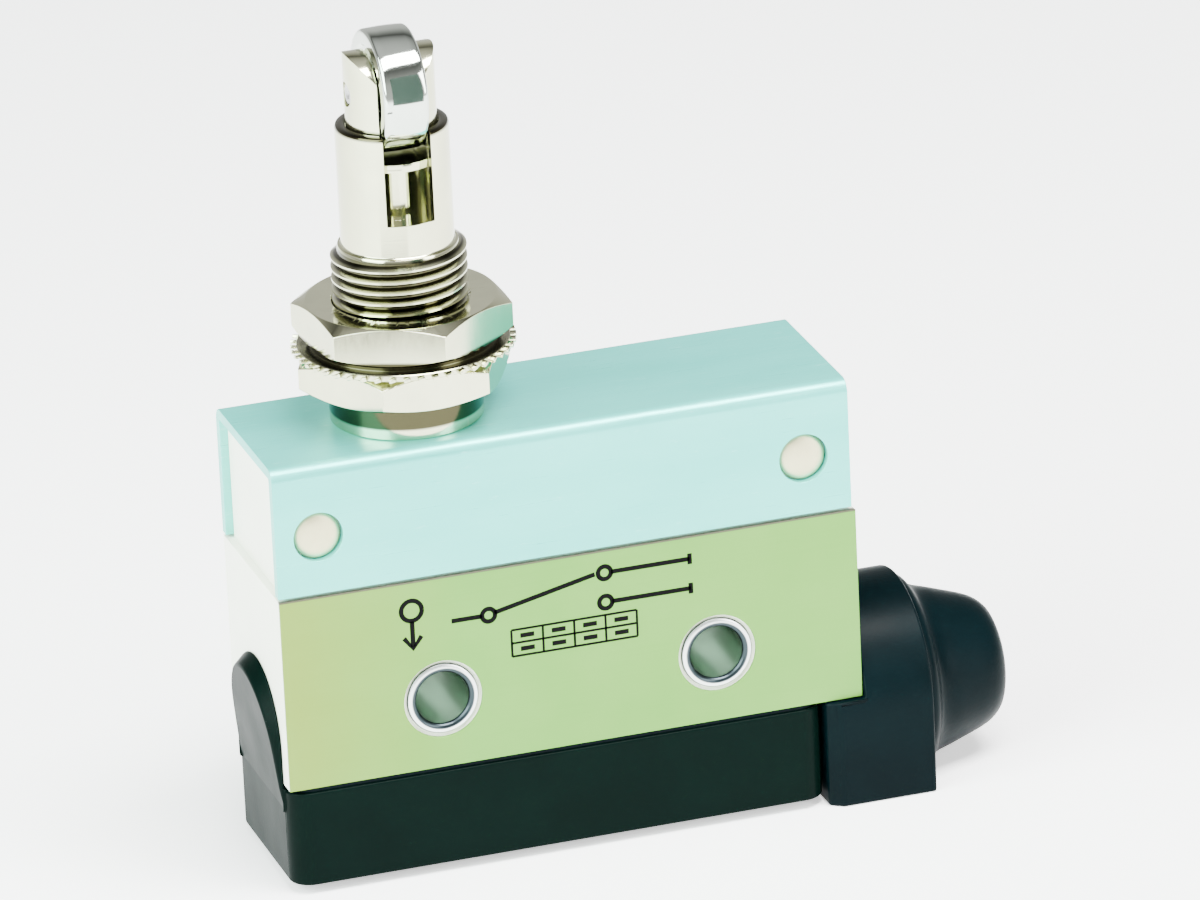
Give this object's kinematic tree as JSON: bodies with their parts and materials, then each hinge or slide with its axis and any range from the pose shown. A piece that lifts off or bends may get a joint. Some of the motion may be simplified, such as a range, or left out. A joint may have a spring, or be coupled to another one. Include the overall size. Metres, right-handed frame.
{
  "type": "limit switch",
  "caption": "Enclosed limit switch with a threaded panel-mount plunger head, a cross roller and a cable boot; pressing the roller trips the contacts.",
  "frame": {"origin": "midway between the two mounting holes, at the middle of the body's width", "axes": "+X toward the cable boot, +Y from the nameplate side to the back, +Z toward the roller"},
  "size_m": [0.0698, 0.0198, 0.0761],
  "materials": {
    "case_plastic": "moulded ivory thermoset, satin",
    "nameplate_foil": "champagne anodised foil",
    "channel_aluminium": "bent sheet, fine brushed",
    "rivet_metal": "pale yellow-passivated button head",
    "eyelet_steel": "plated, satin",
    "nickel_plate": "bright nickel plate",
    "spring_steel": "drawn wire",
    "black_clip": "blackened",
    "black_plastic": "moulded, fine texture",
    "black_rubber": "moulded rubber",
    "contact_brass": "rolled strip",
    "contact_silver": "silver alloy",
    "screw_steel": "zinc plated",
    "button_red": "moulded"
  },
  "bodies": {
    "housing": {"case": "case_plastic", "case_plate": "case_plastic", "nameplate": "nameplate_foil", "top_channel": "channel_aluminium", "channel_pins": "rivet_metal", "mounting_eyelets": "eyelet_steel", "guide_bush": "nickel_plate", "bush_clip": "black_clip", "rod_seal": "black_rubber", "lock_nut_lower": "nickel_plate", "return_spring": "spring_steel", "fixed_contacts": "contact_silver", "common_terminal": "contact_brass", "open_terminal": "contact_brass", "closed_terminal": "contact_brass", "terminal_screws": "screw_steel", "screw_washers": "screw_steel", "terminal_cover": "black_plastic", "cover_gasket": "black_rubber", "cover_screw": "screw_steel", "cable_boot": "black_rubber"},
    "plunger": {"plunger": "nickel_plate", "roller_pin": "spring_steel", "overtravel_spring": "spring_steel"},
    "roller": {"roller": "nickel_plate"},
    "push_rod": {"push_rod": "eyelet_steel"},
    "switch_button": {"switch_button": "button_red"},
    "snap_blade": {"snap_blade": "contact_brass", "moving_contact": "contact_silver"},
    "lock_washer": {"lock_washer": "nickel_plate"},
    "lock_nut_upper": {"lock_nut_upper": "nickel_plate"}
  },
  "joints": [
    {"name": "plunger_slide", "type": "slide", "parent": "housing", "child": "plunger", "axis": [0, 0, -1], "range_m": [0, 0.005], "stiffness_N_per_m": 1200, "springref_m": -0.003, "deforming": ["return_spring", "overtravel_spring"]},
    {"name": "roller_spin", "type": "hinge", "parent": "plunger", "child": "roller", "pos_m": [-0.0121, 0, 0.05405], "axis": [1, 0, 0], "continuous": true},
    {"name": "rod_slide", "type": "slide", "parent": "housing", "child": "push_rod", "axis": [0, 0, -1], "range_m": [0, 0.0006]},
    {"name": "button_slide", "type": "slide", "parent": "housing", "child": "switch_button", "axis": [0, 0, -1], "range_m": [0, 0.0006]},
    {"name": "blade_tilt", "type": "hinge", "parent": "housing", "child": "snap_blade", "pos_m": [-0.0215, 0, 0.0099], "axis": [0, 1, 0], "range_deg": [0, 3.67]},
    {"name": "washer_lift", "type": "slide", "parent": "housing", "child": "lock_washer", "axis": [0, 0, 1], "range_m": [0, 0.005]},
    {"name": "nut_spin", "type": "hinge", "parent": "lock_washer", "child": "lock_nut_upper", "pos_m": [-0.0121, 0, 0.0313], "axis": [0, 0, 1], "range_deg": [0, 1800]}
  ],
  "couplings": [
    {"joint": "rod_slide", "follows": "plunger_slide", "ratio": 0.12},
    {"joint": "button_slide", "follows": "plunger_slide", "ratio": 0.12},
    {"joint": "blade_tilt", "follows": "plunger_slide", "rad_per_m": 12.8},
    {"joint": "washer_lift", "follows": "nut_spin", "m_per_rad": 0.00015915}
  ]
}
